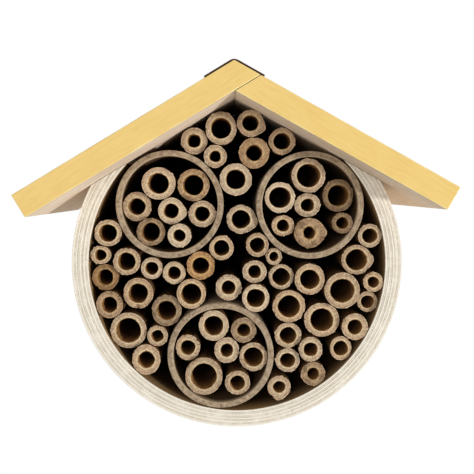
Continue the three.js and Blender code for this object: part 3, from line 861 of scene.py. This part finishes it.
backing = {
    "wood": (198, 170, 128), "woodDark": (164, 132, 92),
    # painted shade for the face towards the canes
    "inside": (44, 30, 18),
    "face": (-7.5 * mm, -7.9 * mm),  # along Y, where the painted shade on the face towards the canes begins
    "zinc": (190, 194, 198), "zincDark": (146, 150, 156),
}


def panelMaterial():
    # upright grain, and painted shade that makes the face towards the canes dark
    made, tree, shader = begin("panel_wood", 0.8, 0.2)
    lines = noise(tree, place(tree, (1, 1, 0.07)), 240, 4, 0.6, 0.5)
    here = add(tree, "ShaderNodeTexCoord").outputs["Object"]
    depth = add(tree, "ShaderNodeSeparateXYZ", {"Vector": here}).outputs["Y"]
    colour = tinted(tree, remap(tree, lines, 0.35, 0.7), albedo(*backing["wood"]), backing["woodDark"])
    # painted shade: the face towards the canes is made dark, where it lies in shade behind them
    colour = tinted(tree, remap(tree, depth, *backing["face"]), colour, backing["inside"])
    return finishMaterial(made, tree, shader, colour, lines, 0.1 * mm, 0.5)


def zincMaterial():
    made, tree, shader = begin("zinc_plate", 0.38, 0.5, 0.9)
    grain = noise(tree, place(tree, (1, 1, 1)), 700, 3)
    colour = tinted(tree, grain, albedo(*backing["zinc"]), backing["zincDark"])
    return finishMaterial(made, tree, shader, colour, grain, 0.03 * mm, 0.4)


def dress(node, material):
    # a CAD node keeps its own mesh and takes a material
    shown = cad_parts[node]
    shown.data.materials.clear()
    shown.data.materials.append(material)


screw = {
    "around": 32 * finest,
    "recess": 0.55 * mm, "blade": 0.32 * mm, "arm": 1.7 * mm,  # the cross: its depth, half width and reach
    "blur": (0.06 * mm, 0.08 * mm),  # softness of its sides and of its ends
}


def buildScrew(node, material):
    # a turned profile with a cross pressed into its head: a point sinks where it is near the middle line of
    # an arm and within its reach, each edge softened by 1 / (1 + exp(distance / blur))
    points, _ = nodeMesh(node)
    low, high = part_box(node)
    axis = np.array([(low.x + high.x) / 2, (low.z + high.z) / 2])
    head, top, tip = (high.x - low.x) / 2, high.y, low.y
    bearing = np.unique(points[:, 1].round(5))[::-1][2]
    shank = np.hypot(*(points[:, [0, 2]] - axis).T)[points[:, 1] < bearing - 1 * mm].max()
    stem = np.array([[tip, 0.25 * shank], [tip + 0.9 * mm, shank], [bearing - 0.1 * mm, shank],
                     [bearing, shank + 0.1 * mm], [bearing, head - 0.12 * mm], [bearing + 0.12 * mm, head]])
    dome = np.linspace(0.06, 1, 14)[::-1]
    rim = bearing + 0.25 * mm
    height = np.r_[stem[:, 0], rim + (top - rim) * np.sqrt(1 - (dome * 0.98) ** 2) ** 0.8]
    radius = np.r_[stem[:, 1], dome * head]
    turn = np.linspace(0, 2 * math.pi, screw["around"], endpoint=False)
    x, z = radius[:, None] * np.cos(turn), radius[:, None] * np.sin(turn)
    near = np.minimum(np.abs(x), np.abs(z)) - screw["blade"]
    far = np.maximum(np.abs(x), np.abs(z)) - screw["arm"]
    inside = 1 / (1 + np.exp(near / screw["blur"][0])) / (1 + np.exp(far / screw["blur"][1]))
    onHead = (np.arange(len(radius)) > len(stem))[:, None]
    y = height[:, None] - screw["recess"] * inside * onHead
    places = np.stack([axis[0] + x, y, axis[1] + z], axis=-1).reshape(-1, 3)
    places = np.vstack([places, [[axis[0], tip, axis[1]], [axis[0], top - screw["recess"], axis[1]]]])
    faces = [quadGrid(len(radius), screw["around"], False, True), *poleFans(len(radius), screw["around"])]
    made = makePiece(node.replace("hanger_", "plate_"), places, faces, [material], None, None, 40)
    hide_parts(node)
    return made


def buildBack():
    zinc = zincMaterial()
    dress("back_panel", panelMaterial())
    dress("hanger_plate", zinc)
    print("back")
    return [buildScrew("hanger_screw_" + side, zinc) for side in ("left", "right")]


for piece in [*buildCanes(), buildDrum(), *buildTubes(), *buildRoof(), buildStrip(), *buildBack()]:
    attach(piece, "root")


# Camera, studio and light

view = {
    "place": (-3.78 * mm, -497.2 * mm, 41.0 * mm),
    "yaw": 0.0099, "pitch": -0.0652, "roll": -0.0177,  # radians, to the right, up and over
    "lens": 55.65, "sensor": 36.0,
}

studio = {
    "sky": 0.37,  # strength of the even white light
    "key": 7.3, "keySize": 0.22, "keyPlace": (2.59, -2.17, -0.49), "keySpread": math.radians(60),
    "top": 4.5, "topSize": 0.6, "topPlace": (0.0, 0.55, 1.35),
    "fill": 3.8, "fillSize": 0.4, "fillPlace": (-0.25, -1.35, 0.22),
    "floor": (0.86, 0.86, 0.85, 1), "floorLight": (1, 0.98, 0.95, 1), "floorGlow": 0.24,
    "floorHeight": -0.9, "floorSide": 2.6, "floorFront": -3.2, "floorBack": 1.6,
}


def addCamera():
    # forward = (sin yaw cos pitch, cos yaw cos pitch, sin pitch); the roll turns right and up about it
    yaw, pitch, roll = view["yaw"], view["pitch"], view["roll"]
    forward = Vector((math.sin(yaw) * math.cos(pitch), math.cos(yaw) * math.cos(pitch), math.sin(pitch)))
    level = Vector((math.cos(yaw), -math.sin(yaw), 0))
    rising = level.cross(forward)
    right = math.cos(roll) * level + math.sin(roll) * rising
    up = -math.sin(roll) * level + math.cos(roll) * rising
    data = bpy.data.cameras.new("camera")
    data.sensor_width, data.lens = view["sensor"], view["lens"]
    data.clip_start, data.clip_end = 0.02, 20
    made = bpy.data.objects.new("camera", data)
    turned = Matrix((right, up, -forward)).transposed().to_4x4()
    made.matrix_world = Matrix.Translation(view["place"]) @ turned
    bpy.context.scene.collection.objects.link(made)
    bpy.context.scene.camera = made


def addLight(name, power, size, at, spread=math.pi):
    data = bpy.data.lights.new(name, "AREA")
    data.energy, data.size, data.shape, data.spread = power, size, "DISK", spread
    made = bpy.data.objects.new(name, data)
    made.location = at
    made.rotation_mode = "QUATERNION"
    made.rotation_quaternion = (-Vector(at)).to_track_quat("-Z", "Y")
    bpy.context.scene.collection.objects.link(made)


def addFloor():
    # one flat face, pale, with a faint glow of its own
    pale, _, shader = begin("pale_floor", 0.9, 0.1)
    shader.inputs["Base Color"].default_value = studio["floor"]
    shader.inputs["Emission Color"].default_value = studio["floorLight"]
    shader.inputs["Emission Strength"].default_value = studio["floorGlow"]
    low, side, front, back = (studio["floor" + part] for part in ("Height", "Side", "Front", "Back"))
    corners = [(-side, front, low), (side, front, low), (side, back, low), (-side, back, low)]
    mesh = bpy.data.meshes.new("floor")
    mesh.from_pydata(corners, [], [(0, 1, 2, 3)])
    mesh.materials.append(pale)
    made = bpy.data.objects.new("floor", mesh)
    bpy.context.scene.collection.objects.link(made)


def addSky():
    # an even white light, behind the object a plain white
    world = bpy.data.worlds.new("studio")
    world.use_nodes = True
    tree = world.node_tree
    sky = tree.nodes["Background"]
    sky.inputs["Color"].default_value = (1, 1, 1, 1)
    sky.inputs["Strength"].default_value = studio["sky"]
    white = add(tree, "ShaderNodeBackground", {"Color": (1, 1, 1, 1), "Strength": 1.0})
    seen = add(tree, "ShaderNodeLightPath").outputs["Is Camera Ray"]
    mixed = add(tree, "ShaderNodeMixShader", {0: seen, 1: sky.outputs[0], 2: white.outputs[0]})
    tree.links.new(mixed.outputs[0], tree.nodes["World Output"].inputs["Surface"])
    bpy.context.scene.world = world
    bpy.context.scene.view_settings.view_transform = "Standard"


def addStudio():
    addSky()
    addFloor()
    addLight("key", studio["key"], studio["keySize"], studio["keyPlace"], studio["keySpread"])
    addLight("top", studio["top"], studio["topSize"], studio["topPlace"])
    addLight("fill", studio["fill"], studio["fillSize"], studio["fillPlace"])


addCamera()
addStudio()
print("studio")
